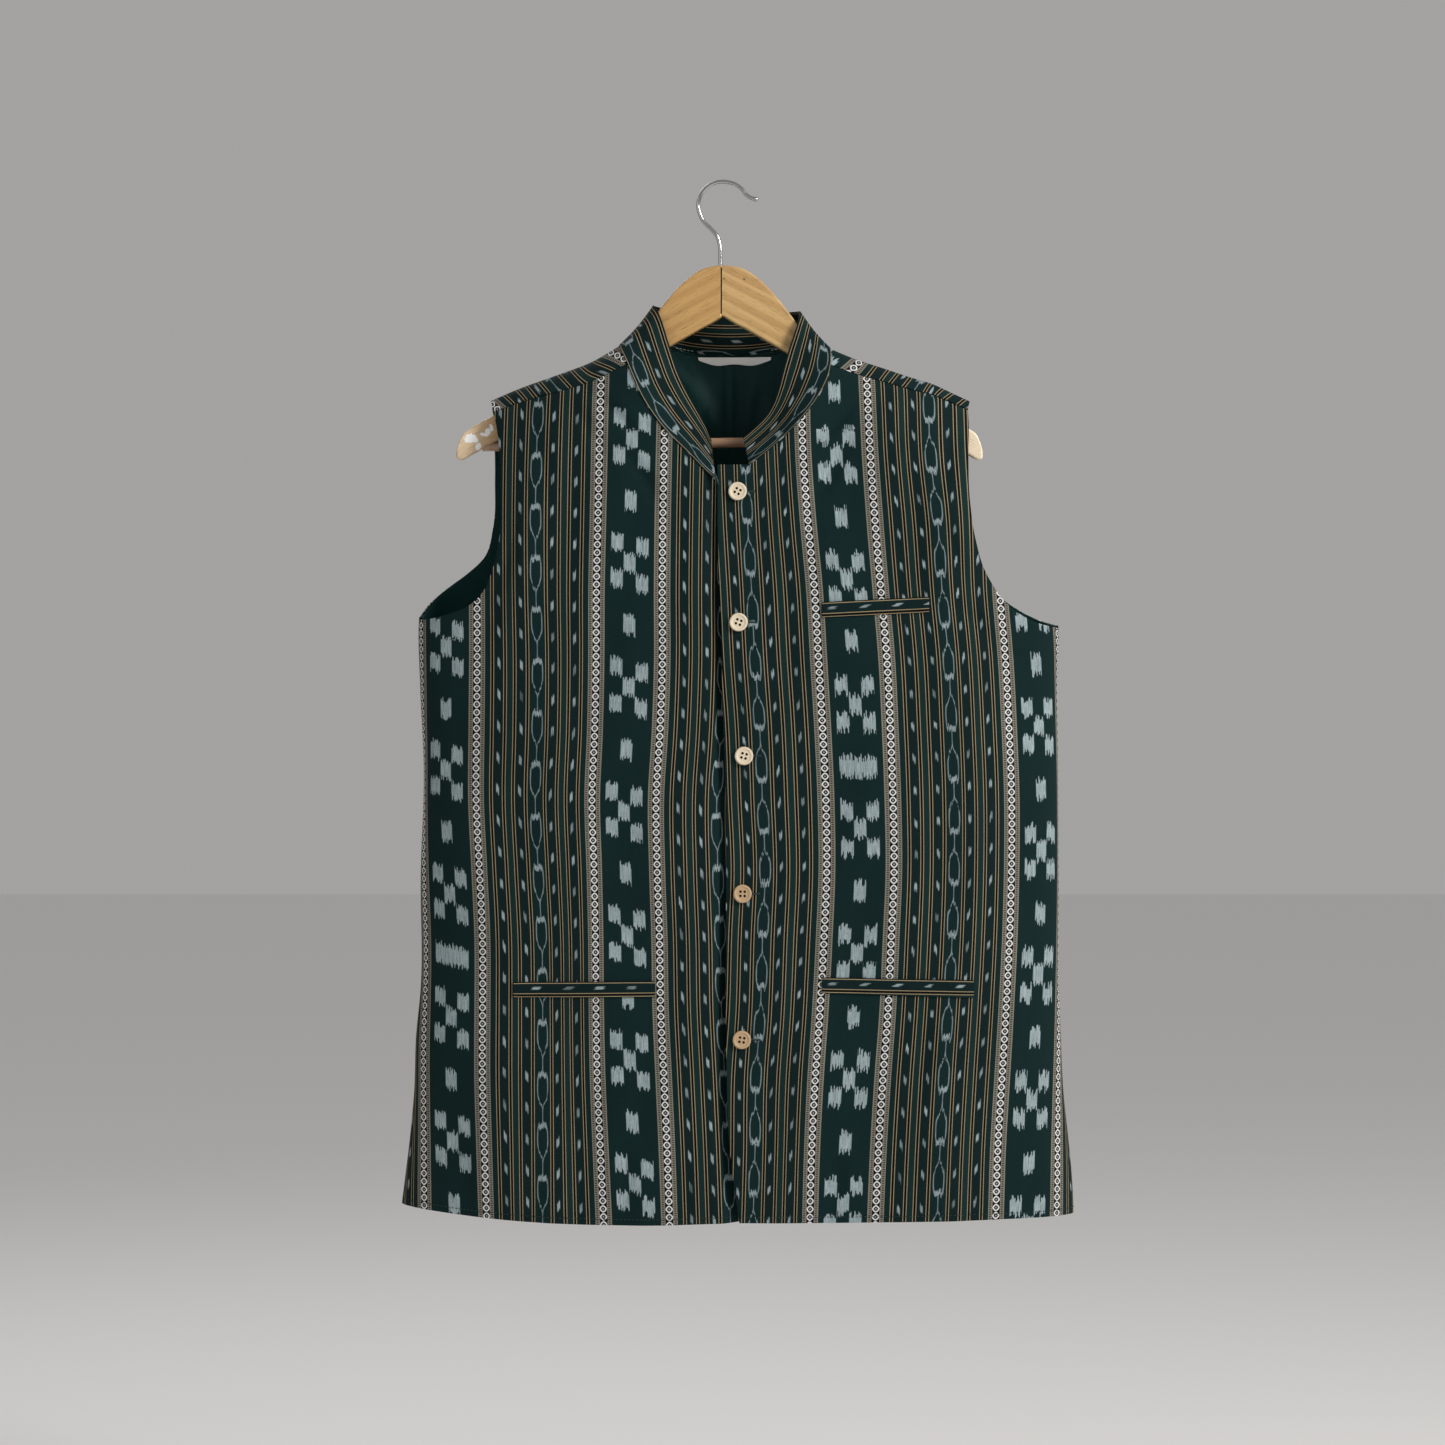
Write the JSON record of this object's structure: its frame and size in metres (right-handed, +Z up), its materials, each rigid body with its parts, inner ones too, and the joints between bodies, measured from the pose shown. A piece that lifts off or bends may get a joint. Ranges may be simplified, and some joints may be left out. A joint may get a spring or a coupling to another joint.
{
  "type": "nehru jacket on a hanger",
  "caption": "Sleeveless band-collar waistcoat in ikat-striped cloth, buttoned in front and open at neck, armholes and hem, hanging on a wooden hanger.",
  "frame": {"origin": "under the crown of the hanger's hook, where a rail carries it", "axes": "+Z up; the jacket's front faces -Y; +X towards the wearer's left, which is the viewer's right"},
  "size_m": [0.567, 0.0986, 0.8767],
  "materials": {
    "cloth": "handloom cotton, dark green with cream ikat stripes",
    "lining": "dark green satin lining",
    "label": "white woven tape",
    "button": "pale wood, smooth",
    "wood": "light varnished wood",
    "chrome": "polished"
  },
  "bodies": {
    "root": {"front_right": "cloth", "front_left": "cloth", "back": "cloth", "back_lining": "lining", "collar": "cloth", "neck_label": "label", "welt_chest": "cloth", "welt_left": "cloth", "welt_right": "cloth", "button_1": "button", "button_2": "button", "button_3": "button", "button_4": "button", "button_5": "button", "hanger_arm_left": "wood", "hanger_arm_right": "wood", "hanger_bar": "wood", "hanger_hook": "chrome"}
  },
  "joints": []
}
